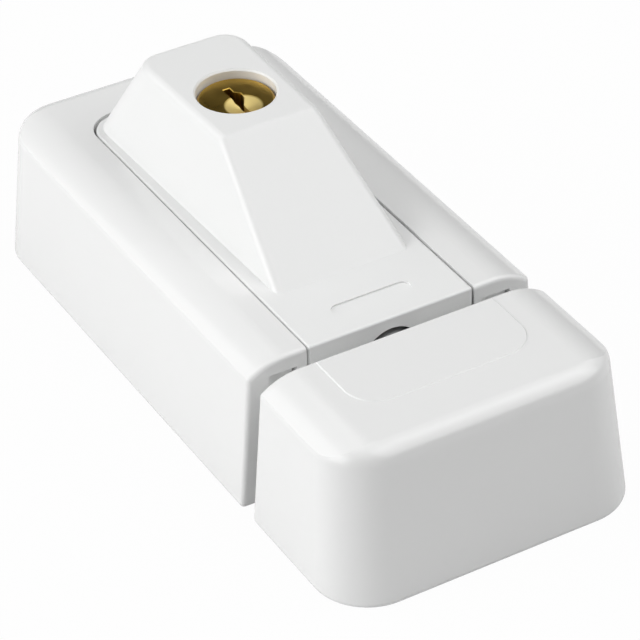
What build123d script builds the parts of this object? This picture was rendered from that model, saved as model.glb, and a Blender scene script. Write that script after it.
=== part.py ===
from build123d import *
import math
import os

os.makedirs("parts", exist_ok=True)

# A surface mounted window lock: a lock case with a key cylinder and a round sliding bolt,
# and the strike box that the bolt enters. Lengths are millimetres and angles are degrees.
# X runs along the bolt, from the closed end of the case to the strike box, and Z is up from
# the window. The origin is under the middle of the whole set, on the mounting plane.

# Outer form, one long tapered box that is parted by the gap between sash and frame
case_length = 92.8
strike_gap = 3.5
strike_length = 30.0
case_width = 58.0
case_height = 28.0
side_taper = 2.3
rear_taper = 2.6
strike_taper = 4.2
foot_corner_radius = 10.0
top_corner_radius = 9.0
shoulder_width = 7.1
shoulder_radius = 12.0
top_edge_radius = 3.4
foot_edge_radius = 0.9
parting_edge_radius = 0.8

# Case cover, a shell that drops over the lock body
cover_wall = 4.0
cover_rear_wall = 3.2
cover_roof = 2.9
lip_wall = 1.9
lip_depth = 12.0
seam_gap = 0.35
rear_seam_gap = 0.6

# Lock body, a casting with a wedge on top that carries the key cylinder
body_width = 31.3
body_setback = 79.0
body_corner_radius = 5.6
body_edge_radius = 0.45
ear_thickness = 3.0
ear_recess = 1.0
wedge_height = 16.4
wedge_foot_half_width = 14.3
wedge_side_lean = 4.0
wedge_plan_taper = 1.4
wedge_foot_rear = 78.5
wedge_foot_front = 15.1
wedge_top_rear = 69.1
wedge_top_front = 39.3
wedge_corner_radius = 5.0
wedge_edge_radius = 1.5
badge_length = 15.0
badge_width = 2.9
badge_depth = 0.3
badge_setback = 6.4

# Base plate and its screws
plate_thickness = 2.5
mount_hole_radius = 2.4
mount_head_radius = 4.2
mount_rear_setback = 69.0
mount_front_setback = 15.0
mount_inset = 8.7
body_screw_radius = 1.5
body_screw_head_radius = 2.75
body_screw_length = 10.0
body_screw_rear_setback = 66.0
body_screw_front_setback = 8.0
body_screw_half_spacing = 13.2

# Key cylinder, standing upright in the wedge
cylinder_setback = 50.8
keyhole_radius = 7.0
keyhole_edge = 0.3
plug_radius = 6.75
plug_recess = 1.5
plug_chamfer = 0.35
roof_under_wedge = 4.0
sleeve_wall = 1.6
sleeve_lip = 1.8
sleeve_rib_width = 4.0
sleeve_rib_height = 1.0
tail_radius = 4.3
tail_square = 4.2
key_slot_rear = 3.5
key_slot_front = 5.0
key_slot_width = 1.25
key_slot_edge = 0.12
key_ward_rear = 2.0
key_ward_front = 1.6
key_ward_step = 0.85
key_blade_step = 0.3
key_funnel_radius = 3.5
key_funnel_depth = 0.9
key_funnel_offset = 2.7
wafer_count = 5
wafer_thickness = 1.0
wafer_width = 7.0
wafer_window_width = 3.4
wafer_first_depth = 4.0
wafer_last_height = 2.75
wafer_lug = 1.4
wafer_spring_radius = 0.4
wafer_spring_length = 3.0

# Rack drive, where half a turn of the key draws the bolt by half the pitch circle
gear_module = 1.0
gear_teeth = 10
pressure_angle = 25.0
gear_addendum = 0.9
gear_dedendum = 1.1
rack_addendum = 0.8
rack_dedendum = 1.15
mesh_backlash = 0.24
gear_thickness = 6.0
rack_back = 4.0
rack_teeth = 8
rack_rear_pitches = 1.65
rack_foot_inset = 1.5
rack_foot_length = 6.0
pinion_screw_radius = 1.25
pinion_screw_head_radius = 2.4
pinion_screw_head = 1.8
pinion_screw_length = 7.0
pinion_floor = 1.5

# Bolt and its bush
bolt_radius = 5.0
bolt_depth = 7.75
bolt_length = 40.7
bolt_chamfer = 0.8
bolt_reach = 11.7
bolt_hole_radius = 5.55
bush_wall = 1.5
bush_setback = 5.0
bush_seat_wall = 2.0
rack_pin_radius = 1.5

# Strike box
strike_wall = 3.2
strike_roof = 1.9
keep_half_width = 16.0
keep_length = 13.0
keep_corner_radius = 4.0
keep_flange = 3.0
socket_gap = 0.3
socket_end = 1.4
strike_mount_rear = 8.5
strike_mount_front_setback = 9.5
strike_mount_inset = 8.5
panel_half_width = 16.8
panel_length = 15.2
panel_corner_radius = 6.0
panel_step = 0.15
panel_edge = 0.2

# Clearances
seat_gap = 0.1
slide_gap = 0.2
turn_gap = 0.06
loose_gap = 0.3

# Derived places along X
total_length = case_length + strike_gap + strike_length
case_rear = -total_length / 2
case_front = case_rear + case_length
strike_rear = case_front + strike_gap
strike_front = strike_rear + strike_length
cylinder_x = case_front - cylinder_setback
body_rear = case_front - body_setback
wedge_top = case_height + wedge_height
plug_top = wedge_top - plug_recess
mount_half_spacing = case_width / 2 - mount_inset
strike_mount_half_spacing = case_width / 2 - strike_mount_inset

# Derived places of the mechanism
pitch_radius = gear_module * gear_teeth / 2
tooth_pitch = math.pi * gear_module
bolt_throw = math.pi * pitch_radius
bolt_height = case_height - bolt_depth
bolt_tip = strike_rear + bolt_reach
bolt_rear = bolt_tip - bolt_length
gear_middle = bolt_height
gear_bottom = gear_middle - gear_thickness / 2
gear_top = gear_middle + gear_thickness / 2
channel_roof = bolt_height + bolt_radius + slide_gap
sleeve_top = wedge_top - roof_under_wedge
sleeve_bottom = gear_top + slide_gap
plug_bottom = sleeve_bottom + sleeve_lip
sleeve_radius = plug_radius + turn_gap + sleeve_wall
wafer_space = plug_top - wafer_first_depth - plug_bottom - wafer_last_height
wafer_pitch = wafer_space / (wafer_count - 1)
rack_root = pitch_radius + rack_dedendum
rack_outer = rack_root + rack_back
channel_left = -(sleeve_radius + seat_gap)
channel_right = rack_outer + slide_gap
rack_start = cylinder_x - tooth_pitch * rack_rear_pitches
rack_foot_start = bolt_rear + rack_foot_inset
rack_foot_end = rack_foot_start + rack_foot_length
channel_front = rack_foot_end + bush_seat_wall
channel_rear = rack_start - bolt_throw - loose_gap * 2


def box_between(x0, x1, y0, y1, z0, z1):
    """A box given by its two ends on each axis."""
    middle = Pos((x0 + x1) / 2, (y0 + y1) / 2, (z0 + z1) / 2)
    return middle * Box(x1 - x0, y1 - y0, z1 - z0)


def upright(radius, z0, z1, x=0.0, y=0.0):
    """A round rod along Z."""
    return Pos(x, y, (z0 + z1) / 2) * Cylinder(radius, z1 - z0)


def lengthwise(radius, x0, x1, y=0.0, z=0.0):
    """A round rod along X."""
    return Pos((x0 + x1) / 2, y, z) * Rot(0, 90, 0) * Cylinder(radius, x1 - x0)


def rounded_outline(x0, x1, half_width, rear_radius, front_radius, z):
    """A rectangle with one corner radius at its rear and another at its front."""
    outline = Pos((x0 + x1) / 2, 0) * Rectangle(x1 - x0, 2 * half_width)
    by_x = outline.vertices().sort_by(Axis.X)
    outline = fillet(by_x[:2], rear_radius)
    by_x = outline.vertices().sort_by(Axis.X)
    outline = fillet(by_x[-2:], front_radius)
    return Pos(0, 0, z) * outline


def tapered_box(x0, x1, half_width, leans, foot_radius, top_radius, z1):
    """A box with rounded corners. The leans move its rear, front and sides in at the top."""
    rear, front, side = leans
    foot = rounded_outline(x0, x1, half_width, foot_radius, foot_radius, 0)
    top = rounded_outline(x0 + rear, x1 - front, half_width - side, top_radius, top_radius, z1)
    return loft([foot, top], ruled=True)


def hollow_box(x0, x1, half_width, leans, radius, roof):
    """The inside of a tapered cover, open at the foot. The leans are per unit of height."""
    rear, front, side = leans
    below = 1.0
    foot = rounded_outline(
        x0 - rear * below, x1 + front * below, half_width + side * below, radius, radius, -below
    )
    top = rounded_outline(
        x0 + rear * roof, x1 - front * roof, half_width - side * roof, radius, radius, roof
    )
    return loft([foot, top], ruled=True)


def crowned_roof():
    """Everything under the roof line: flat in the middle, bowed down along both sides."""
    flat = case_width / 2 - side_taper - shoulder_width
    turn = math.radians(75)
    low = case_height - shoulder_radius

    def bow(angle, side):
        return (side * (flat + shoulder_radius * math.sin(angle)),
                low + shoulder_radius * math.cos(angle))

    right, left = bow(turn, 1), bow(turn, -1)
    roof = Line(bow(0, -1), bow(0, 1))
    roof += ThreePointArc(bow(0, 1), bow(turn / 2, 1), right)
    roof += Polyline(
        right, (case_width, right[1]), (case_width, -1), (-case_width, -1),
        (-case_width, left[1]), left,
    )
    roof += ThreePointArc(left, bow(turn / 2, -1), bow(0, -1))
    return extrude(Plane.YZ * make_face(roof), total_length, both=True)


def outer_form():
    """The long tapered box that the case and the strike box share."""
    form = tapered_box(
        case_rear, strike_front, case_width / 2, (rear_taper, strike_taper, side_taper),
        foot_corner_radius, top_corner_radius, case_height,
    )
    form = fillet(form.edges().group_by(Axis.Z)[-1], top_edge_radius)
    form = form & crowned_roof()
    return fillet(form.edges().group_by(Axis.Z)[0], foot_edge_radius)


def countersunk_hole(hole_radius, head_radius, z0, z1, x, y):
    """A through hole whose conical head seat opens at z1, which may lie above or below z0."""
    low, high = min(z0, z1), max(z0, z1)
    depth = head_radius - hole_radius
    hole = upright(hole_radius, low - 1, high + 1, x, y)
    if z1 > z0:
        seat = Pos(x, y, z1 - depth / 2) * Cone(hole_radius, head_radius, depth)
    else:
        seat = Pos(x, y, z1 + depth / 2) * Cone(head_radius, hole_radius, depth)
    return hole + seat


def slot_outline(margin, z):
    """The opening in the cover's roof, grown by a margin. It runs out past the front."""
    half = body_width / 2 + seam_gap + margin
    rear = body_rear - rear_seam_gap - margin
    radius = body_corner_radius + seam_gap + margin
    return rounded_outline(rear, case_front + case_length, half, radius, 1.0, z)


def case_hollow():
    """The space inside the case cover, open at its foot and at its front."""
    leans = (rear_taper / case_height, 0, side_taper / case_height)
    return hollow_box(
        case_rear + cover_rear_wall, case_front + total_length, case_width / 2 - cover_wall,
        leans, foot_corner_radius - cover_rear_wall, case_height - cover_roof,
    )


def make_case_cover():
    """The cover: three sloping walls and a roof with a long opening for the lock body."""
    cover = outer_form() & box_between(
        case_rear - 5, case_front, -case_width, case_width, -1, case_height + 1
    )
    parting = [e for e in cover.edges() if abs(e.center().X - case_front) < 0.01]
    parting = [e for e in parting if e.center().Z > 1.5 * foot_edge_radius]
    cover = fillet(parting, parting_edge_radius)
    hollow = case_hollow()
    lip_bottom = case_height - cover_roof - lip_depth
    lip = extrude(slot_outline(lip_wall, lip_bottom), case_height - lip_bottom)
    lip = lip & cover
    opening = extrude(slot_outline(0, -1), case_height + 5)
    return (cover - hollow) + lip - opening


def make_lock_body():
    """The cast body: a long block with the wedge on top, a channel for the bolt below."""
    foot = plate_thickness
    block_sketch = rounded_outline(
        body_rear, case_front, body_width / 2, body_corner_radius, body_edge_radius, foot
    )
    block = extrude(block_sketch, case_height - foot)
    block = fillet(block.edges().group_by(Axis.Z)[-1], body_edge_radius)
    body = block + make_wedge()
    for side in (-1, 1):
        body += make_ear(side)
    body -= body_channel()
    body -= cylinder_pocket()
    body -= lengthwise(bolt_hole_radius, channel_front - 1, case_front + 1, 0, bolt_height)
    bush_front = case_front - bush_setback
    bush_outer = bolt_radius + turn_gap + bush_wall
    body -= lengthwise(bush_outer, channel_front - 1, bush_front, 0, bolt_height)
    badge = Pos(case_front - badge_setback, 0, case_height - badge_depth)
    badge *= SlotOverall(badge_length, badge_width, rotation=90)
    body -= extrude(badge, badge_depth + 1)
    for x, y in body_screw_places():
        body -= upright(body_screw_radius, foot - 1, body_screw_length + loose_gap, x, y)
    return body


def make_wedge():
    """The wedge: a long ramp seen from the side, crossed with sides that lean in."""
    rear_foot = case_front - wedge_foot_rear
    front_foot = case_front - wedge_foot_front
    rear_crown = case_front - wedge_top_rear
    front_crown = case_front - wedge_top_front
    ramp = Polyline(
        (rear_foot, case_height), (front_foot, case_height),
        (front_crown, wedge_top), (rear_crown, wedge_top), close=True,
    )
    slope = wedge_plan_taper / (wedge_foot_rear - wedge_foot_front)
    ends = []
    for setback in (wedge_foot_rear + wedge_height, wedge_foot_front - wedge_height):
        half = wedge_foot_half_width - slope * (wedge_foot_rear - setback)
        across = Polyline(
            (-half, case_height), (half, case_height),
            (half - wedge_side_lean, wedge_top), (wedge_side_lean - half, wedge_top), close=True,
        )
        ends.append(Pos(case_front - setback, 0, 0) * (Plane.YZ * make_face(across)))
    long_way = extrude(Plane.XZ * make_face(ramp), case_width, both=True)
    wedge = long_way & loft(ends, ruled=True)
    rear_edges = wedge.edges().filter_by(lambda e: e.center().X < rear_crown)
    rear_edges = rear_edges.filter_by(lambda e: abs(e.center().Y) > 1)
    rear_edges = rear_edges.filter_by(lambda e: e.center().Z > case_height + 1)
    wedge = fillet(rear_edges, wedge_corner_radius)
    upper = wedge.edges().filter_by(lambda e: e.center().Z > case_height + 1)
    crown = upper.filter_by(lambda e: e.center().Z > wedge_top - 0.01)
    flanks = upper.filter_by(lambda e: e.center().X > front_crown)
    return fillet(crown + flanks, wedge_edge_radius)


def make_ear(side):
    """A shoulder at the front of the body that closes one hollow leg of the cover."""
    front = case_front - ear_recess
    lip_bottom = case_height - cover_roof - lip_depth
    inner = body_width / 2 + seam_gap + lip_wall + loose_gap
    roof = case_height - cover_roof - loose_gap
    lean = side_taper / case_height
    profile = [
        (body_width / 2 - 1, plate_thickness),
        (case_width / 2 - cover_wall - loose_gap - lean * plate_thickness, plate_thickness),
        (case_width / 2 - cover_wall - loose_gap - lean * roof, roof),
        (inner, roof),
        (inner, lip_bottom - loose_gap),
        (body_width / 2 - 1, lip_bottom - loose_gap),
    ]
    face = Plane.YZ * make_face(Polyline(*[(side * y, z) for y, z in profile], close=True))
    return Pos(front - ear_thickness, 0, 0) * extrude(face, ear_thickness, dir=(1, 0, 0))


def body_channel():
    """The room under the wedge for the pinion, the rack and the rear end of the bolt."""
    turning = box_between(
        cylinder_x - sleeve_radius - seat_gap, channel_front, channel_left, channel_right,
        plate_thickness - 1, channel_roof,
    )
    rack_way = box_between(
        channel_rear, channel_front, pitch_radius - rack_addendum - loose_gap, channel_right,
        plate_thickness - 1, gear_top + slide_gap,
    )
    return turning + rack_way


def cylinder_pocket():
    """The round seat of the sleeve, its key groove and the round opening in the wedge's top."""
    pocket = upright(sleeve_radius + turn_gap, channel_roof - 1, sleeve_top, cylinder_x)
    groove_half = sleeve_rib_width / 2 + turn_gap
    pocket += box_between(
        cylinder_x - sleeve_radius - sleeve_rib_height - turn_gap, cylinder_x,
        -groove_half, groove_half, gear_top + slide_gap, sleeve_top,
    )
    pocket += upright(keyhole_radius, sleeve_top - 1, wedge_top + 1, cylinder_x)
    rim = Pos(cylinder_x, 0, wedge_top - keyhole_edge / 2)
    pocket += rim * Cone(keyhole_radius, keyhole_radius + keyhole_edge, keyhole_edge)
    return pocket


def body_screw_places():
    """Where the base plate is screwed to the body."""
    rear = case_front - body_screw_rear_setback
    front = case_front - body_screw_front_setback
    return [(x, side * body_screw_half_spacing) for x in (rear, front) for side in (-1, 1)]


def make_base_plate():
    """The steel plate that closes the body from below and is screwed to the window."""
    rear = case_rear + cover_rear_wall + loose_gap + rear_taper * plate_thickness / case_height
    half = case_width / 2 - cover_wall - loose_gap - side_taper * plate_thickness / case_height
    radius = foot_corner_radius - cover_rear_wall - loose_gap
    outline = rounded_outline(rear, case_front - ear_recess, half, radius, 1.0, 0)
    plate = extrude(outline, plate_thickness)
    for setback in (mount_rear_setback, mount_front_setback):
        for side in (-1, 1):
            plate -= countersunk_hole(
                mount_hole_radius, mount_head_radius, 0, plate_thickness,
                case_front - setback, side * mount_half_spacing,
            )
    for x, y in body_screw_places():
        plate -= countersunk_hole(
            body_screw_radius + seat_gap, body_screw_head_radius + seat_gap,
            plate_thickness, 0, x, y,
        )
    return plate


def make_base_plate_screws():
    """Four countersunk screws, driven up through the base plate into the body."""
    depth = body_screw_head_radius - body_screw_radius
    screws = []
    for x, y in body_screw_places():
        screw = upright(body_screw_radius, 0, body_screw_length, x, y)
        screw += Pos(x, y, depth / 2) * Cone(body_screw_head_radius, body_screw_radius, depth)
        screw -= upright(body_screw_radius * 0.75, -1, depth * 0.8, x, y)
        screws.append(screw)
    return Compound(children=screws)


def make_bearing_block():
    """The block under the mechanism: it carries the rack and holds the sleeve in its seat."""
    top = gear_bottom - slide_gap
    block = box_between(
        cylinder_x - sleeve_radius, channel_front - seat_gap,
        channel_left + seat_gap, channel_right - seat_gap, plate_thickness, top,
    )
    block += box_between(
        channel_rear + seat_gap, channel_front - seat_gap,
        pitch_radius - rack_addendum - loose_gap + seat_gap, channel_right - seat_gap,
        plate_thickness, top,
    )
    post_inner = pitch_radius + gear_addendum + loose_gap
    block += box_between(
        cylinder_x - pitch_radius, cylinder_x + pitch_radius,
        channel_left + seat_gap, -post_inner, top - 1, sleeve_bottom,
    )
    bolt_way = lengthwise(
        bolt_radius + slide_gap, bolt_rear - bolt_throw - 1, channel_front + 1, 0, bolt_height
    )
    block -= bolt_way
    block -= upright(
        pinion_screw_head_radius + loose_gap, top - pinion_screw_head - slide_gap, top + 1, cylinder_x
    )
    return block


def make_cylinder_sleeve():
    """The brass sleeve round the plug, with two grooves that the wafers can enter."""
    sleeve = upright(sleeve_radius, sleeve_bottom, sleeve_top, cylinder_x)
    half_rib = sleeve_rib_width / 2
    sleeve += box_between(
        cylinder_x - sleeve_radius - sleeve_rib_height, cylinder_x, -half_rib, half_rib,
        sleeve_bottom, sleeve_top,
    )
    sleeve -= upright(plug_radius + turn_gap, plug_bottom, sleeve_top + 1, cylinder_x)
    sleeve -= upright(tail_radius + turn_gap, sleeve_bottom - 1, sleeve_top, cylinder_x)
    half_groove = wafer_width / 2 + slide_gap
    reach = plug_radius + turn_gap + sleeve_wall / 2
    sleeve -= box_between(
        cylinder_x - reach, cylinder_x + reach, -half_groove, half_groove,
        plug_bottom, sleeve_top - sleeve_lip,
    )
    return sleeve


def key_slot():
    """The keyway in plan: a narrow slot with a bulge on one side for the ribs of the key."""
    half = key_slot_width / 2
    bulge = half + key_ward_step
    blade = key_blade_step - half
    right = [(-key_slot_rear, half), (-key_ward_rear, half)]
    right += [(key_ward_step - key_ward_rear, bulge), (key_ward_front - 1.5 * key_ward_step, bulge)]
    right += [(key_ward_front, half), (key_slot_front, half)]
    left = [(key_slot_front, blade), (key_ward_front, blade)]
    left += [(key_ward_front - key_ward_step, -half), (-key_slot_rear, -half)]
    return make_face(Polyline(*right, *left, close=True))


def key_slot_mouth():
    """The broken edge round the keyway at the face of the plug."""
    low = Pos(0, 0, -key_slot_edge) * key_slot()
    high = offset(key_slot(), key_slot_edge, kind=Kind.INTERSECTION)
    return Pos(cylinder_x, 0, plug_top) * loft([low, high])


def wafer_level(number):
    """The underside of one wafer. The first lies nearest to the face of the plug."""
    return plug_top - wafer_first_depth - number * wafer_pitch


def make_cylinder_plug():
    """The brass plug that the key turns: a face with a keyway, wafer slots and a square tail."""
    plug = upright(plug_radius, plug_bottom, plug_top, cylinder_x)
    plug = chamfer(plug.edges().group_by(Axis.Z)[-1], plug_chamfer)
    plug += upright(tail_radius, gear_top, plug_bottom, cylinder_x)
    half_square = tail_square / 2
    plug += box_between(
        cylinder_x - half_square, cylinder_x + half_square, -half_square, half_square,
        gear_bottom + pinion_floor + seat_gap, gear_top,
    )
    keyway_floor = plug_bottom + sleeve_lip
    plug -= Pos(cylinder_x, 0, keyway_floor) * extrude(key_slot(), plug_top)
    plug -= key_slot_mouth()
    funnel = Pos(cylinder_x + key_funnel_offset, 0, plug_top - key_funnel_depth / 2)
    funnel *= Cone(key_slot_width / 2, key_funnel_radius, key_funnel_depth)
    plug -= funnel
    for number in range(wafer_count):
        low = wafer_level(number) - turn_gap
        half = wafer_width / 2 + turn_gap
        plug -= box_between(
            cylinder_x - plug_radius - 1, cylinder_x + plug_radius + 1, -half, half,
            low, low + wafer_thickness + 2 * turn_gap,
        )
        plug -= box_between(
            cylinder_x - wafer_spring_length - turn_gap, cylinder_x + wafer_lug + slide_gap,
            0, half + wafer_lug, low, low + wafer_thickness + 2 * turn_gap,
        )
    screw_top = gear_bottom + pinion_screw_length - pinion_screw_head
    plug -= upright(pinion_screw_radius, gear_bottom - 1, screw_top + loose_gap, cylinder_x)
    return plug


def make_wafer(number):
    """One wafer, level with the plug's round surface as a key would hold it."""
    low = wafer_level(number)
    high = low + wafer_thickness
    wafer = upright(plug_radius - turn_gap, low, high, cylinder_x)
    half = wafer_width / 2
    wafer &= box_between(
        cylinder_x - plug_radius, cylinder_x + plug_radius, -half, half, low, high
    )
    half_window = wafer_window_width / 2
    wafer -= box_between(
        cylinder_x - key_slot_rear - slide_gap, cylinder_x + key_slot_front + slide_gap,
        -half_window, half_window, low - 1, high + 1,
    )
    return wafer + box_between(
        cylinder_x, cylinder_x + wafer_lug, half - wafer_lug, half + wafer_lug, low, high
    )


def make_wafer_spring(number):
    """The spring behind the side lug of one wafer, as the plain rod that it fills."""
    middle = wafer_level(number) + wafer_thickness / 2
    y = wafer_width / 2 + wafer_lug / 2
    return lengthwise(
        wafer_spring_radius, cylinder_x - wafer_spring_length, cylinder_x, y, middle
    )


# The rack drive takes the most care: involute teeth on the pinion, straight ones on the rack
def involute_point(base_radius, radius, turn):
    """A point of the involute at this radius, turned about the centre."""
    roll = math.sqrt(max((radius / base_radius) ** 2 - 1, 0))
    angle = roll - math.atan(roll) + turn
    return (radius * math.cos(angle), radius * math.sin(angle))


def pinion_tooth():
    """One pinion tooth on the +X side, from inside the root circle to the tip circle."""
    base_radius = pitch_radius * math.cos(math.radians(pressure_angle))
    tip = pitch_radius + gear_addendum
    root = pitch_radius - gear_dedendum
    start = max(base_radius, root)
    flank_angle = math.tan(math.radians(pressure_angle)) - math.radians(pressure_angle)
    half_tooth = (tooth_pitch - mesh_backlash) / 4 / pitch_radius
    turn = -half_tooth - flank_angle
    radii = [start + (tip - start) * step / 4 for step in range(5)]
    lower = [involute_point(base_radius, radius, turn) for radius in radii]
    upper = [(x, -y) for x, y in reversed(lower)]
    inside = root * 0.9
    first = (inside * math.cos(turn), inside * math.sin(turn))
    last = (first[0], -first[1])
    outline = [
        Line(first, lower[0]),
        Spline(*lower),
        ThreePointArc(lower[-1], (tip, 0), upper[0]),
        Spline(*upper),
        Line(upper[-1], last),
        Line(last, first),
    ]
    return make_face(Wire(outline))


def make_drive_pinion():
    """The pinion on the plug's tail, with a tooth space facing the rack at rest."""
    root = pitch_radius - gear_dedendum
    gear = upright(root, gear_bottom, gear_top)
    tooth = extrude(pinion_tooth(), gear_thickness)
    first = 90 - 180 / gear_teeth
    for number in range(gear_teeth):
        gear += Pos(0, 0, gear_bottom) * Rot(0, 0, first + number * 360 / gear_teeth) * tooth
    half = tail_square / 2 + turn_gap
    gear -= box_between(-half, half, -half, half, gear_bottom + pinion_floor, gear_top + 1)
    gear -= upright(pinion_screw_radius + slide_gap, gear_bottom - 1, gear_top)
    return Pos(cylinder_x, 0, 0) * gear


def make_pinion_screw():
    """The screw that holds the pinion on the tail, its head under the pinion."""
    top = gear_bottom + pinion_screw_length - pinion_screw_head
    screw = upright(pinion_screw_radius, gear_bottom - pinion_screw_head, top, cylinder_x)
    screw += upright(
        pinion_screw_head_radius, gear_bottom - pinion_screw_head, gear_bottom, cylinder_x
    )
    slot_half = pinion_screw_head_radius / 5
    screw -= box_between(
        cylinder_x - 2 * pinion_screw_head_radius, cylinder_x + 2 * pinion_screw_head_radius,
        -slot_half, slot_half,
        gear_bottom - pinion_screw_head - 1, gear_bottom - pinion_screw_head / 2,
    )
    return screw


def rack_outline():
    """The rack from above: straight sided teeth along one edge and a foot that joins the bolt."""
    lean = math.tan(math.radians(pressure_angle))
    half = (tooth_pitch - mesh_backlash) / 4
    tip_half = half - rack_addendum * lean
    root_half = half + rack_dedendum * lean
    tip = pitch_radius - rack_addendum
    points = [(rack_start, rack_outer), (rack_start, rack_root)]
    for number in range(rack_teeth):
        middle = cylinder_x + (number - 1) * tooth_pitch
        points += [(middle - root_half, rack_root), (middle - tip_half, tip)]
        points += [(middle + tip_half, tip), (middle + root_half, rack_root)]
    points += [(rack_foot_start, rack_root), (rack_foot_start, -bolt_radius / 2)]
    points += [(rack_foot_end, -bolt_radius / 2), (rack_foot_end, rack_outer)]
    return make_face(Polyline(*points, close=True))


def make_bolt_rack():
    """The toothed bar beside the pinion, with a foot that lies in a slot of the bolt."""
    rack = Pos(0, 0, gear_bottom) * extrude(rack_outline(), gear_thickness)
    pin_x = (rack_foot_start + rack_foot_end) / 2
    rack -= upright(rack_pin_radius, gear_bottom - 1, gear_top + 1, pin_x)
    return rack


def make_locking_bolt():
    """The round steel bolt, slotted at its rear for the foot of the rack."""
    bolt = lengthwise(bolt_radius, bolt_rear, bolt_tip, 0, bolt_height)
    bolt = chamfer(bolt.edges().sort_by(Axis.X)[-1], bolt_chamfer)
    bolt -= box_between(
        rack_foot_start - seat_gap, rack_foot_end + seat_gap, -bolt_radius / 2 - seat_gap,
        bolt_radius + 1, gear_bottom - seat_gap, gear_top + seat_gap,
    )
    pin_x = (rack_foot_start + rack_foot_end) / 2
    bolt -= upright(rack_pin_radius, 0, case_height, pin_x)
    return bolt


def make_rack_pin():
    """The pin that locks the rack's foot in the bolt."""
    half = math.sqrt(bolt_radius ** 2 - rack_pin_radius ** 2) - seat_gap
    pin_x = (rack_foot_start + rack_foot_end) / 2
    return upright(rack_pin_radius, bolt_height - half, bolt_height + half, pin_x)


def make_bolt_bush():
    """The bush in the front of the body that guides the bolt."""
    rear = channel_front
    front = case_front - bush_setback
    inner = bolt_radius + turn_gap
    bush = lengthwise(inner + bush_wall, rear, front, 0, bolt_height)
    return bush - lengthwise(inner, rear - 1, front + 1, 0, bolt_height)


def make_strike_cover():
    """The strike box's cover, the same tapered form with an opening for the bolt."""
    cover = outer_form() & box_between(
        strike_rear, strike_front + 5, -case_width, case_width, -1, case_height + 1
    )
    parting = [e for e in cover.edges() if abs(e.center().X - strike_rear) < 0.01]
    parting = [e for e in parting if e.center().Z > 1.5 * foot_edge_radius]
    cover = fillet(parting, parting_edge_radius)
    panel = rounded_outline(
        strike_rear - panel_length, strike_rear + panel_length, panel_half_width, 1.0,
        panel_corner_radius, case_height - 1,
    )
    panel = extrude(panel, 1 + panel_step)
    panel = chamfer(panel.edges().group_by(Axis.Z)[-1], panel_step, panel_edge)
    panel = panel & box_between(
        strike_rear + parting_edge_radius, strike_front, -case_width, case_width,
        0, case_height + 5,
    )
    cover += panel
    roof = case_height - strike_roof
    hollow = hollow_box(
        strike_rear + strike_wall, strike_front - strike_wall, case_width / 2 - strike_wall,
        (0, strike_taper / case_height, side_taper / case_height),
        foot_corner_radius - strike_wall, roof,
    )
    cover -= hollow
    return cover - lengthwise(bolt_hole_radius, strike_rear - 1, strike_rear + 9, 0, bolt_height)


def keep_bounds():
    """The ends of the keep's block along X."""
    rear = strike_rear + strike_wall + seat_gap
    return rear, rear + keep_length


def make_strike_keep():
    """The cast keep inside the strike cover: a screw flange and a block with the bolt socket."""
    rear, front = keep_bounds()
    flange_front = strike_front - strike_wall - loose_gap
    flange_front -= strike_taper * keep_flange / case_height
    half = case_width / 2 - strike_wall - loose_gap - side_taper * keep_flange / case_height
    radius = foot_corner_radius - strike_wall - loose_gap
    keep = extrude(rounded_outline(rear, flange_front, half, radius, radius, 0), keep_flange)
    top = case_height - strike_roof - seat_gap
    block = rounded_outline(rear, front, keep_half_width, 1.0, keep_corner_radius, 0)
    keep += extrude(block, top)
    keep -= lengthwise(bolt_radius + socket_gap, rear - 1, front - socket_end, 0, bolt_height)
    for place in (strike_mount_rear, strike_length - strike_mount_front_setback):
        for side in (-1, 1):
            keep -= countersunk_hole(
                mount_hole_radius, mount_head_radius, 0, keep_flange,
                strike_rear + place, side * strike_mount_half_spacing,
            )
    return keep


def write(name, shape):
    export_step(shape, f"parts/{name}.step")


write("case_cover", make_case_cover())
write("lock_body", make_lock_body())
write("base_plate", make_base_plate())
write("base_plate_screws", make_base_plate_screws())
write("bearing_block", make_bearing_block())
write("cylinder_sleeve", make_cylinder_sleeve())
write("cylinder_plug", make_cylinder_plug())
for number in range(wafer_count):
    write(f"wafer_{number + 1}", make_wafer(number))
    write(f"wafer_spring_{number + 1}", make_wafer_spring(number))
write("drive_pinion", make_drive_pinion())
write("pinion_screw", make_pinion_screw())
write("locking_bolt", make_locking_bolt())
write("bolt_rack", make_bolt_rack())
write("rack_pin", make_rack_pin())
write("bolt_bush", make_bolt_bush())
write("strike_cover", make_strike_cover())
write("strike_keep", make_strike_keep())
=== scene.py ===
# %% [markdown]
# # A white window lock
# The lock is screwed to a window sash and its strike box to the frame. A key in the sloping
# wedge turns a small pinion, which draws a round bolt back out of the strike box. The solids
# come ready made from the CAD frame, so this lesson is about finishes, a few small pieces
# that repeat, and a plain studio.

# %% The frame
import math

import bpy
from mathutils import Matrix, Vector


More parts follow.
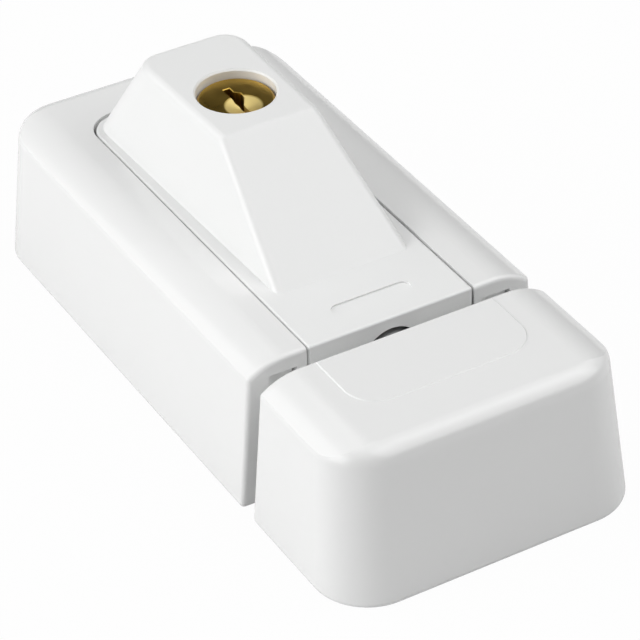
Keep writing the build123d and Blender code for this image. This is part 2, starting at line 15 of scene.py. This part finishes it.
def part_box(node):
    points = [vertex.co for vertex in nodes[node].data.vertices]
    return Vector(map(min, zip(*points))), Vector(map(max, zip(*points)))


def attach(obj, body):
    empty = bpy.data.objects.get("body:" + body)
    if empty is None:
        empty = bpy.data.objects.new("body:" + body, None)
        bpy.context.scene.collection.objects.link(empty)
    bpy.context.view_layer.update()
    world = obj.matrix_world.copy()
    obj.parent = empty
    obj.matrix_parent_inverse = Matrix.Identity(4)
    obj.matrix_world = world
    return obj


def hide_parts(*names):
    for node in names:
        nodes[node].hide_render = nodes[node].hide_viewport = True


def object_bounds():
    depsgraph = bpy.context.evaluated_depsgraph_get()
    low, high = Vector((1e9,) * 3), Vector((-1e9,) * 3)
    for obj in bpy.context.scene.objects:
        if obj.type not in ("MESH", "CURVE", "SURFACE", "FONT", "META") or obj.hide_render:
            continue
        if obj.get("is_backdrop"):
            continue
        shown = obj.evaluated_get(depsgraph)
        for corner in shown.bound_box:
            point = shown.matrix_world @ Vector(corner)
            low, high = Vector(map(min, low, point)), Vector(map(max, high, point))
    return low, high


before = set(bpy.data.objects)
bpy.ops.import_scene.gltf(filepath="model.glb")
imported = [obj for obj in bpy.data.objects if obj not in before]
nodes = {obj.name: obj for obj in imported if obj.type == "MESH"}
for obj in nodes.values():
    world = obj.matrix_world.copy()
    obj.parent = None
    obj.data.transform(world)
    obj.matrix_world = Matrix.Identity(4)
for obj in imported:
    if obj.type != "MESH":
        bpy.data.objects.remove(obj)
cad_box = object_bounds()
MM = 0.001


def in_mm(vector, digits=2):
    """Rounded millimetres, for the lines that are printed."""
    return [round(v / MM, digits) for v in vector]


print("nodes:", len(nodes), "size in mm:", in_mm(cad_box[1] - cad_box[0]))

# %% [markdown]
# ## Sums with sockets
# A finish is a small sum of patterns: a base tone plus a little grain, minus a little where the
# metal is worn. Wiring each Math node by hand hides that sum. A class that wraps one output
# socket and overloads the operators lets the sum be written as one line of Python.

# %% A socket that can be added and multiplied
class Signal:
    """One output socket of a node tree."""

    def __init__(self, tree, socket=None):
        self.tree, self.socket = tree, socket

    def node(self, kind, settings=None, sockets=None, output=0):
        """Adds any node: its settings first, then the values or links of its sockets."""
        made = self.tree.nodes.new(kind)
        for name, value in (settings or {}).items():
            setattr(made, name, value)
        for name, value in (sockets or {}).items():
            if isinstance(value, Signal):
                self.tree.links.new(value.socket, made.inputs[name])
            else:
                made.inputs[name].default_value = value
        return Signal(self.tree, made.outputs[output])

    def math(self, operation, first, second):
        return self.node("ShaderNodeMath", {"operation": operation}, {0: first, 1: second})

    def __add__(self, other):
        return self.math("ADD", self, other)

    def __sub__(self, other):
        return self.math("SUBTRACT", self, other)

    def __rsub__(self, other):
        return self.math("SUBTRACT", other, self)

    def __mul__(self, other):
        return self.math("MULTIPLY", self, other)

    def __truediv__(self, other):
        return self.math("DIVIDE", self, other)

    __radd__ = __add__
    __rmul__ = __mul__

    def ramp(self, low, high):
        """0 below low, 1 above high, and a soft step between them."""
        settings = {"interpolation_type": "SMOOTHSTEP"}
        return self.node("ShaderNodeMapRange", settings, {"Value": self, 1: low, 2: high})

    def tint(self, first, second):
        """A colour that goes from the first to the second as this signal goes from 0 to 1."""
        ends = [end if isinstance(end, Signal) else (*end, 1) for end in (first, second)]
        sockets = {0: self, 6: ends[0], 7: ends[1]}
        return self.node("ShaderNodeMix", {"data_type": "RGBA"}, sockets, output=2)


print("sums of sockets are ready")

# %% [markdown]
# ## A finish to start from
# Every finish begins with the same three things: a Principled shader, the piece's Object
# coordinates in metres, and the numbers that are the same all over. Object coordinates are used
# because the pattern then stays fixed to the piece when the lock is worked. A soft noise and a
# bump come back in nearly every finish, so they are helpers too.

# %% Starting a finish, and putting it on
def start_finish(name, **constants):
    """A new material, its Principled shader and its Object coordinates."""
    material = bpy.data.materials.new(name)
    material.use_nodes = True
    shader = material.node_tree.nodes["Principled BSDF"]
    for socket, value in constants.items():
        shader.inputs[socket.replace("_", " ")].default_value = value
    place = Signal(material.node_tree).node("ShaderNodeTexCoord", output="Object")
    return material, shader, place


def feed(shader, socket, signal):
    shader.id_data.links.new(signal.socket, shader.inputs[socket])


def dress(names, finish):
    """Gives each of these CAD pieces one finish in place of its plain one."""
    for name in names:
        nodes[name].data.materials.clear()
        nodes[name].data.materials.append(finish)
    print(finish.name, "on", ", ".join(names))


print("finishes can be started and put on")


# %% The patterns that several finishes share
def cloud(place, size, detail=2.0):
    """Soft noise with features of about this size in metres, from 0 to 1."""
    sockets = {"Vector": place, "Scale": 1 / size, "Detail": detail}
    return place.node("ShaderNodeTexNoise", None, sockets)


def dents(place, height, depth, strength):
    """A bump of this depth in metres from a height signal."""
    sockets = {"Height": height, "Distance": depth, "Strength": strength}
    return place.node("ShaderNodeBump", None, sockets)


def lighter(tone, factor):
    return tuple(factor * channel for channel in tone)


print("shared patterns are ready")

# %% [markdown]
# ## White moulded covers
# The case cover and the strike cover are injection moulded in white plastic. A moulded part is
# never perfectly even: the surface carries a very fine grain from the tool, and its gloss drifts
# a little along the flow of the plastic. A coarse and a fine noise give that, both kept faint,
# because a strong grain in the roughness shows as white specks on a wall in glancing light.

# %% Moulded white
FLOW_SIZE, TOOL_GRAIN_SIZE = 22 * MM, 0.45 * MM


def moulded_white(name, tone, roughness):
    material, shader, place = start_finish(name, Specular_IOR_Level=0.5, Coat_Roughness=0.06)
    flow = cloud(place, FLOW_SIZE)
    grain = cloud(place, TOOL_GRAIN_SIZE, 3.0)
    feed(shader, "Base Color", (0.7 * flow + 0.3 * grain).tint(tone, lighter(tone, 1.02)))
    feed(shader, "Roughness", roughness + 0.05 * (flow - 0.5) + 0.015 * (grain - 0.5))
    feed(shader, "Coat Weight", 0.42 + 0.10 * flow)
    feed(shader, "Normal", dents(place, grain, 0.004 * MM, 0.5))
    return material


cover_white = moulded_white("moulded_white", (0.835, 0.838, 0.834), 0.25)
dress(["case_cover", "strike_cover"], cover_white)

# %% [markdown]
# ## Lacquered lock body
# The body between the covers is a metal casting with white lacquer. Lacquer lies thicker than a
# moulded skin and dries with a slight orange peel, so its grain is rounder and its sheen is a
# little softer. The same recipe with other numbers would look too even, so a second, larger
# ripple is added to the bump.

# %% Lacquer on the casting
PEEL_SIZE, LACQUER_GRAIN_SIZE, DRIFT_SIZE = 0.9 * MM, 0.32 * MM, 15 * MM


def lacquered_white(name, tone, roughness):
    material, shader, place = start_finish(name, Specular_IOR_Level=0.5, Coat_Roughness=0.2)
    peel = cloud(place, PEEL_SIZE, 1.0)
    grain = cloud(place, LACQUER_GRAIN_SIZE, 2.0)
    drift = cloud(place, DRIFT_SIZE)
    feed(shader, "Base Color", (0.5 * drift + 0.5 * grain).tint(tone, lighter(tone, 1.03)))
    feed(shader, "Roughness", roughness + 0.05 * (drift - 0.5) + 0.02 * (grain - 0.5))
    feed(shader, "Coat Weight", 0.12 + 0.08 * drift)
    feed(shader, "Normal", dents(place, 0.65 * peel + 0.35 * grain, 0.006 * MM, 0.5))
    return material


body_white = lacquered_white("white_lacquer", (0.825, 0.830, 0.825), 0.29)
dress(["lock_body"], body_white)

# %% [markdown]
# ## Turned brass
# The key plug is turned from brass bar, so its face carries fine rings about its own axis, and
# the face has gone a dull olive. Keys have worn the funnel in front of the keyway down to clean,
# finely scratched metal; its bright colour is partly that wear and partly a painted highlight.
# A ring pattern needs a centre: a Mapping node moves the origin of the coordinates to the axis
# of the piece.

# %% Brass with rings about an upright or a lying axis
DULL_BRASS, BRIGHT_BRASS = (0.48, 0.31, 0.055), (0.60, 0.40, 0.085)
# Bright brass for the funnel disc: partly key wear, partly a painted highlight.
HIGHLIGHT_AND_WORN_BRASS = (1.0, 0.81, 0.34)
RING_WIDTH = 0.16 * MM
RING_SCALE = 2 * math.pi / (20 * RING_WIDTH)  # a Wave node draws a ring every 2 pi / 20
FILM_SIZE = 2.2 * MM


def turned_brass(name, axis_point, turn, highlight_and_wear_point=None, highlight_and_wear_radius=0.0):
    material, shader, place = start_finish(name, Metallic=1.0)
    sockets = {"Vector": place, "Location": axis_point, "Rotation": turn}
    centred = place.node("ShaderNodeMapping", {"vector_type": "TEXTURE"}, sockets)
    settings = {"wave_type": "RINGS", "rings_direction": "Z"}
    sockets = {"Vector": centred, "Scale": RING_SCALE, "Distortion": 0.6}
    rings = place.node("ShaderNodeTexWave", settings, sockets)
    film = cloud(place, FILM_SIZE)
    colour = (0.6 * film + 0.4 * rings).tint(DULL_BRASS, BRIGHT_BRASS)
    rough = 0.24 + 0.12 * film + 0.05 * rings
    # The funnel disc gets a brighter, rougher brass: partly key wear, partly a painted highlight.
    if highlight_and_wear_point is not None:
        sockets = {0: place, 1: highlight_and_wear_point}
        offset = place.node("ShaderNodeVectorMath", {"operation": "DISTANCE"}, sockets, "Value")
        highlight_and_wear = 1 - offset.ramp(0.86 * highlight_and_wear_radius, 1.02 * highlight_and_wear_radius)
        colour = highlight_and_wear.tint(colour, HIGHLIGHT_AND_WORN_BRASS)
        rough = rough + 0.22 * highlight_and_wear
    feed(shader, "Base Color", colour)
    feed(shader, "Roughness", rough)
    feed(shader, "Normal", dents(place, rings, 0.002 * MM, 0.5))
    return material


print("brass can be turned")

# %% Brass on the cylinder and the bush
# Centre and radius of the funnel disc that is painted as worn brass with a painted highlight.
FUNNEL_OFFSET, FUNNEL_RADIUS = 2.7 * MM, 3.5 * MM
UPRIGHT, LYING = (0, 0, 0), (0, math.pi / 2, 0)
plug_low, plug_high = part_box("cylinder_plug")
plug_axis = (plug_low + plug_high) / 2
funnel = (plug_axis.x + FUNNEL_OFFSET, 0.0, plug_high.z)
plug_brass = turned_brass("plug_brass", (plug_axis.x, 0, 0), UPRIGHT, funnel, FUNNEL_RADIUS)
sleeve_brass = turned_brass("sleeve_brass", (plug_axis.x, 0, 0), UPRIGHT)
bush_low, bush_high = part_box("bolt_bush")
bolt_axis = (bush_low + bush_high) / 2
bush_brass = turned_brass("bush_brass", (0, 0, bolt_axis.z), LYING)
wafer_numbers = range(1, 6)
dress(["cylinder_plug"], plug_brass)
dress(["cylinder_sleeve", *[f"wafer_{number}" for number in wafer_numbers]], sleeve_brass)
dress(["bolt_bush"], bush_brass)
print("plug axis at", in_mm(plug_axis))

# %% [markdown]
# ## Ground steel
# The bolt, its rack, the pinion and the pins are hardened steel, ground on a centreless grinder.
# Grinding leaves hair lines round the piece rather than along it. Stretching a noise is enough
# for that: on the bolt it is left fine along X and drawn out round the bolt.

# %% Steel for the moving pieces
HAIR_LINE_SIZE, STEEL_FILM_SIZE = 0.25 * MM, 4 * MM


def ground_steel(name, dark, light, stretch):
    material, shader, place = start_finish(name, Metallic=1.0)
    drawn = place.node("ShaderNodeMapping", None, {"Vector": place, "Scale": stretch})
    lines = cloud(drawn, HAIR_LINE_SIZE, 3.0)
    film = cloud(place, STEEL_FILM_SIZE)
    feed(shader, "Base Color", (0.5 * lines + 0.5 * film).tint(dark, light))
    feed(shader, "Roughness", 0.22 + 0.14 * lines + 0.08 * film)
    feed(shader, "Normal", dents(place, lines, 0.003 * MM, 0.6))
    return material


ROUND_THE_BOLT, ROUND_THE_PINION = (1, 0.08, 0.08), (0.3, 0.3, 1)
bolt_tones = (0.42, 0.42, 0.43), (0.60, 0.60, 0.60)
drive_tones = (0.36, 0.36, 0.37), (0.52, 0.52, 0.52)
bolt_steel = ground_steel("bolt_steel", *bolt_tones, ROUND_THE_BOLT)
drive_steel = ground_steel("drive_steel", *drive_tones, ROUND_THE_PINION)
dress(["locking_bolt"], bolt_steel)
dress(["rack_pin", "bolt_rack", "drive_pinion", "pinion_screw"], drive_steel)

# %% [markdown]
# ## Zinc plate and die castings
# The base plate is steel with a bright zinc coat that has a faint bluish and straw coloured
# bloom, in patches a few millimetres wide. The bearing block and the keep in the strike box are
# zinc die castings: darker, matt, with the fine pits of the mould. A Voronoi cell pattern gives
# the patches of the plating and plain noise the pits of the castings.

# %% Zinc plating
CELL_SIZE, BLOOM_SIZE = 3 * MM, 9 * MM
BLUISH_ZINC, STRAW_ZINC = (0.58, 0.60, 0.64), (0.70, 0.67, 0.58)


def zinc_plate(name):
    material, shader, place = start_finish(name, Metallic=1.0)
    sockets = {"Vector": place, "Scale": 1 / CELL_SIZE}
    cells = place.node("ShaderNodeTexVoronoi", None, sockets, "Distance")
    bloom = cloud(place, BLOOM_SIZE)
    feed(shader, "Base Color", (0.7 * bloom + 0.3 * cells).tint(BLUISH_ZINC, STRAW_ZINC))
    feed(shader, "Roughness", 0.30 + 0.15 * cells)
    feed(shader, "Normal", dents(place, cells, 0.004 * MM, 0.5))
    return material


plate_zinc = zinc_plate("plate_zinc")
dress(["base_plate"], plate_zinc)

# %% Die castings
PIT_SIZE, CAST_FLOW_SIZE = 0.4 * MM, 7 * MM
DARK_CASTING, PALE_CASTING = (0.33, 0.33, 0.34), (0.47, 0.47, 0.48)


def die_cast(name):
    material, shader, place = start_finish(name, Metallic=0.85)
    pits = cloud(place, PIT_SIZE, 4.0)
    flow = cloud(place, CAST_FLOW_SIZE)
    feed(shader, "Base Color", (0.6 * flow + 0.4 * pits).tint(DARK_CASTING, PALE_CASTING))
    feed(shader, "Roughness", 0.42 + 0.2 * pits)
    feed(shader, "Normal", dents(place, pits, 0.015 * MM, 0.7))
    return material


block_cast = die_cast("block_cast")
dress(["bearing_block", "strike_keep"], block_cast)

# %% [markdown]
# ## Screws under the base plate
# Four countersunk screws hold the plate to the body from below. They are all alike, so one screw
# is modelled inside a Geometry Nodes tree and set on the corners of a grid. The tree has named
# inputs for its sizes. The places and the length are read from the CAD screws, so the pattern
# follows the frame.

# %% Helpers for a tree of geometry nodes
def start_tree(name, inputs):
    """A geometry tree with these named float inputs and a material input, all as signals."""
    tree = bpy.data.node_groups.new(name, "GeometryNodeTree")
    tree.interface.new_socket("Geometry", in_out="OUTPUT", socket_type="NodeSocketGeometry")
    for title in inputs:
        tree.interface.new_socket(title, in_out="INPUT", socket_type="NodeSocketFloat")
    tree.interface.new_socket("Finish", in_out="INPUT", socket_type="NodeSocketMaterial")
    entry = tree.nodes.new("NodeGroupInput")
    return tree, {title: Signal(tree, entry.outputs[title]) for title in [*inputs, "Finish"]}


def end_tree(tree, instances, finish):
    """Realizes the instances, gives them their finish and sends them out."""
    real = instances.node("GeometryNodeRealizeInstances", None, {0: instances})
    coated = real.node("GeometryNodeSetMaterial", None, {"Geometry": real, "Material": finish})
    out = tree.nodes.new("NodeGroupOutput")
    tree.links.new(coated.socket, out.inputs[0])
    print(tree.name, "tree has", len(tree.nodes), "nodes")


def grow(name, tree, values):
    """Runs a tree on an empty mesh and keeps the result as a plain mesh object."""
    piece = bpy.data.objects.new(name, bpy.data.meshes.new(name))
    bpy.context.scene.collection.objects.link(piece)
    modifier = piece.modifiers.new(name, "NODES")
    modifier.node_group = tree
    for item in tree.interface.items_tree:
        if item.in_out == "INPUT":
            modifier[item.identifier] = values[item.name]
    graph = bpy.context.evaluated_depsgraph_get()
    mesh = bpy.data.meshes.new_from_object(piece.evaluated_get(graph))
    piece.modifiers.clear()
    piece.data = mesh
    return piece


print("geometry trees can be started")


# %% Helpers for shapes in a tree
def joined(first, *others):
    made = first.tree.nodes.new("GeometryNodeJoinGeometry")
    for part in (first, *others):
        first.tree.links.new(part.socket, made.inputs[0])
    return Signal(first.tree, made.outputs[0])


def moved(part, vector, rotation=(0, 0, 0)):
    sockets = {"Geometry": part, "Translation": vector, "Rotation": rotation}
    return part.node("GeometryNodeTransform", None, sockets)


def along(start, **axes):
    """A vector from signals for X, Y and Z, of which any may be left out."""
    return start.node("ShaderNodeCombineXYZ", None, axes)


def helix(start, turns, radius, height, resolution):
    """A spiral curve that climbs along Z."""
    sockets = {"Resolution": resolution, "Rotations": turns, "Height": height}
    sockets.update({"Start Radius": radius, "End Radius": radius})
    return start.node("GeometryNodeCurveSpiral", None, sockets)


def swept(curve, radius, resolution):
    """A closed wire of this radius along a curve."""
    sockets = {"Resolution": resolution, "Radius": radius}
    section = curve.node("GeometryNodeCurvePrimitiveCircle", {"mode": "RADIUS"}, sockets)
    sockets = {"Curve": curve, "Profile Curve": section, "Fill Caps": True}
    return curve.node("GeometryNodeCurveToMesh", None, sockets)


print("shapes can be joined, moved and swept")

# %% The screw tree: a head with a cross recess
titles = ["Centre X", "Span X", "Span Y", "Head Radius", "Shank Radius", "Length", "Pitch"]
screw_tree, size = start_tree("countersunk_screws", titles)
start = Signal(screw_tree)
rim, shank = size["Head Radius"], size["Shank Radius"]
head_depth = rim - shank
sockets = {"Vertices": 40, "Radius Top": shank, "Radius Bottom": rim, "Depth": head_depth}
head = start.node("GeometryNodeMeshCone", None, sockets)
arm_length, arm_width, arm_height = 1.2 * rim, 0.26 * rim, 1.2 * head_depth
arm = along(start, X=arm_length, Y=arm_width, Z=arm_height)
bar = start.node("GeometryNodeMeshCube", None, {"Size": arm})
cross = joined(bar, moved(bar, (0, 0, 0), (0, 0, math.pi / 2)))
sockets = {"Mesh 1": head, "Mesh 2": cross}
head = start.node("GeometryNodeMeshBoolean", {"operation": "DIFFERENCE"}, sockets)
print("head of a countersunk screw, with its recess")

# %% The screw tree: the threaded shank, and the four places
core_start = 0.5 * arm_height
core_length = size["Length"] - core_start
sockets = {"Vertices": 24, "Radius": 0.78 * shank, "Depth": core_length}
core = start.node("GeometryNodeMeshCylinder", None, sockets)
core = moved(core, along(start, Z=core_start + 0.5 * core_length))
thread_start, unthreaded = 1.2 * head_depth, 1.4 * head_depth
thread_length = size["Length"] - unthreaded
crest = helix(start, thread_length / size["Pitch"], 0.8 * shank, thread_length, 24)
crest = moved(crest, along(start, Z=thread_start))
thread = swept(crest, 0.19 * shank, 4)
sockets = {"Size X": size["Span X"], "Size Y": size["Span Y"], "Vertices X": 2, "Vertices Y": 2}
grid = start.node("GeometryNodeMeshGrid", None, sockets)
grid = moved(grid, along(start, X=size["Centre X"]))
sockets = {"Points": grid, "Instance": joined(head, core, thread)}
screws = start.node("GeometryNodeInstanceOnPoints", None, sockets)
end_tree(screw_tree, screws, size["Finish"])

# %% The screws, set where the CAD screws are
screws_low, screws_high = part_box("base_plate_screws")
head_radius = 2.75 * MM
screw_values = {
    "Centre X": (screws_low.x + screws_high.x) / 2,
    "Span X": screws_high.x - screws_low.x - 2 * head_radius,
    "Span Y": screws_high.y - screws_low.y - 2 * head_radius,
    "Head Radius": head_radius,
    "Shank Radius": 1.5 * MM,
    "Length": screws_high.z - screws_low.z,
    "Pitch": 0.8 * MM,
    "Finish": plate_zinc,
}
plate_screws = grow("plate_screws", screw_tree, screw_values)
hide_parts("base_plate_screws")
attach(plate_screws, "case")
low, high = (in_mm(plate_screws.bound_box[corner]) for corner in (0, 6))
print("plate screws:", len(plate_screws.data.polygons), "faces, box in mm", low, high)

# %% [markdown]
# ## Wafer springs
# Each wafer in the plug is pushed sideways by a tiny compression spring. In the CAD frame the
# five springs are plain rods that fill the same space. A spiral curve swept with a round wire is
# the real form, and since the five are one pattern, a line of points carries them.

# %% The spring tree
titles = ["Start X", "Middle Y", "Middle Z", "Step Z"]
titles += ["Length", "Coil Radius", "Wire Radius", "Turns"]
spring_tree, size = start_tree("wafer_springs", titles)
start = Signal(spring_tree)
coil = helix(start, size["Turns"], size["Coil Radius"], size["Length"], 20)
coil = moved(coil, (0, 0, 0), (0, math.pi / 2, 0))
spring = swept(coil, size["Wire Radius"], 8)
first = along(start, X=size["Start X"], Y=size["Middle Y"], Z=size["Middle Z"])
step = along(start, Z=size["Step Z"])
sockets = {"Count": len(wafer_numbers), "Start Location": first, "Offset": step}
row = start.node("GeometryNodeMeshLine", None, sockets)
sockets = {"Points": row, "Instance": spring}
springs = start.node("GeometryNodeInstanceOnPoints", None, sockets)
end_tree(spring_tree, springs, size["Finish"])

# %% The springs, set where the CAD rods are
rods = [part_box(f"wafer_spring_{number}") for number in wafer_numbers]
low, high = rods[0]
wire_radius = 0.07 * MM
spring_values = {
    "Start X": low.x + wire_radius,
    "Middle Y": (low.y + high.y) / 2,
    "Middle Z": (low.z + high.z) / 2,
    "Step Z": rods[1][0].z - low.z,
    "Length": high.x - low.x - 2 * wire_radius,
    "Coil Radius": (high.z - low.z) / 2 - wire_radius,
    "Wire Radius": wire_radius,
    "Turns": 9.0,
    "Finish": drive_steel,
}
wafer_springs = grow("wafer_springs", spring_tree, spring_values)
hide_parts(*[f"wafer_spring_{number}" for number in wafer_numbers])
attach(wafer_springs, "cylinder")
print("wafer springs:", len(wafer_springs.data.polygons), "faces")

# %% [markdown]
# ## The floor
# The lock lies on a plain white sheet. A white floor that is only lit would come out grey, and
# more light would burn out the lock, so the camera sees mostly an even white glow with a little
# of the lit floor mixed in, which keeps the soft shadow under the lock. Reflections in the lock
# see less of the glow, and light that bounces from the floor comes from the lit part alone.

# %% A white sheet that keeps a faint shadow
FLOOR_BOUNCE = 0.65
SEEN_GLOW, MIRRORED_GLOW = 0.97, 0.3


def white_sheet(name):
    material = bpy.data.materials.new(name)
    material.use_nodes = True
    tree = material.node_tree
    tree.nodes.clear()
    start = Signal(tree)
    ray = tree.nodes.new("ShaderNodeLightPath")
    kinds = ("Camera", "Glossy", "Transmission")
    camera, glossy, clear = (Signal(tree, ray.outputs[f"Is {kind} Ray"]) for kind in kinds)
    grey = (FLOOR_BOUNCE, FLOOR_BOUNCE, FLOOR_BOUNCE, 1)
    lit = start.node("ShaderNodeBsdfDiffuse", None, {"Color": grey})
    glow = start.node("ShaderNodeEmission", None, {"Color": (1, 1, 1, 1), "Strength": 1.0})
    share = SEEN_GLOW * (camera + clear) + MIRRORED_GLOW * glossy
    sheet = start.node("ShaderNodeMixShader", None, {0: share, 1: lit, 2: glow})
    out = tree.nodes.new("ShaderNodeOutputMaterial")
    tree.links.new(sheet.socket, out.inputs["Surface"])
    return material


half = 30.0
corners = [(-half, -half, 0), (half, -half, 0), (half, half, 0), (-half, half, 0)]
floor_mesh = bpy.data.meshes.new("floor")
floor_mesh.from_pydata(corners, [], [(0, 1, 2, 3)])
floor_mesh.materials.append(white_sheet("white_sheet"))
floor = bpy.data.objects.new("floor", floor_mesh)
bpy.context.scene.collection.objects.link(floor)
floor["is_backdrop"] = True
print("floor of", 2 * half, "m")

# %% [markdown]
# ## Studio light
# The left side of the lock is the brightest, the tops come next and the front of the strike box
# is in half shade. A ring of large soft boxes gives that: the strongest stands low on the left,
# the next at the rear left, a weak one hangs overhead, one lifts the right side, and one high in
# front lights the ramp and draws a soft bright line along the edges that face the camera. The
# rear left light is two boxes side by side, and only one of them is mirrored in the lock, so the
# rounded shoulder gets a sheen and isn't burnt out. The boxes are large against the lock, so no
# shadow has a hard edge.

# %% Six soft boxes
BOX_DISTANCE, BOX_WIDTH = 2.0, 2.0
middle = (cad_box[0] + cad_box[1]) / 2


def soft_box(name, direction, level, mirrored):
    """An area lamp aimed at the lock. Level is the light it gives a surface facing it."""
    lamp = bpy.data.lights.new(name, "AREA")
    lamp.shape = "SQUARE"
    lamp.size = BOX_WIDTH
    lamp.energy = level * math.pi ** 2 * BOX_DISTANCE ** 2
    holder = bpy.data.objects.new(name, lamp)
    back = Vector(direction).normalized()
    holder.location = middle + back * BOX_DISTANCE
    holder.rotation_euler = back.to_track_quat("Z", "Y").to_euler()
    holder.visible_camera = False
    holder.visible_glossy = mirrored
    bpy.context.scene.collection.objects.link(holder)


soft_box("low_left", (0, -0.97, 0.26), 0.78, True)
soft_box("rear_left", (-0.5, -0.66, 0.57), 0.22, False)
soft_box("rear_left_sheen", (-0.44, -0.66, 0.61), 0.38, True)
soft_box("overhead", (-0.2, 0.22, 0.95), 0.19, True)
soft_box("right", (0, 0.82, 0.57), 0.23, True)
soft_box("front_high", (0.45, 0.45, 0.77), 0.59, True)
print(len(bpy.data.lights), "soft boxes at", BOX_DISTANCE, "m")

# %% A dark surround and plain colours
world = bpy.data.worlds.new("surround")
world.use_nodes = True
world.node_tree.nodes["Background"].inputs["Strength"].default_value = 0.0
bpy.context.scene.world = world
bpy.context.scene.view_settings.view_transform = "Standard"
print("all the light comes from the boxes")

# %% [markdown]
# ## The camera
# The picture was taken from the strike end, well above the lock, with a long lens, so parallel
# edges hardly converge. A camera is easiest to set by the turn round the lock, the height above
# the horizon, a small roll and the point that it looks at.

# %% Camera at the picture's angle
turn, height, roll = math.radians(60.341), math.radians(36.139), math.radians(-1.303)
aim = Vector((14.642, -4.858, 20.0)) * MM
distance = 518.255 * MM
level_right = Vector((math.cos(turn), math.sin(turn), 0))
level_ahead = Vector((-math.sin(turn), math.cos(turn), 0))
ahead = level_ahead * math.cos(height) - Vector((0, 0, math.sin(height)))
level_up = level_right.cross(ahead)
right = level_right * math.cos(roll) + level_up * math.sin(roll)
up = level_up * math.cos(roll) - level_right * math.sin(roll)
camera_data = bpy.data.cameras.new("camera")
camera_data.lens = 174.836
camera_data.sensor_width = 36.0
camera = bpy.data.objects.new("camera", camera_data)
turned = Matrix((right, up, -ahead)).transposed().to_4x4()
camera.matrix_world = Matrix.Translation(aim - ahead * distance) @ turned
bpy.context.scene.collection.objects.link(camera)
bpy.context.scene.camera = camera
print("camera at", in_mm(camera.location, 1))

# %% [markdown]
# ## Sizes
# The CAD box and the box of the dressed lock are both measured, and their sizes are printed.
# The dressed lock must stay inside the CAD box.

# %% Sizes, and the end
boxes = {"cad": [list(corner) for corner in cad_box], "visual": [list(corner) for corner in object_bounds()]}
print("size in mm:", {name: [round((b - a) / MM, 2) for a, b in zip(*pair)] for name, pair in boxes.items()})
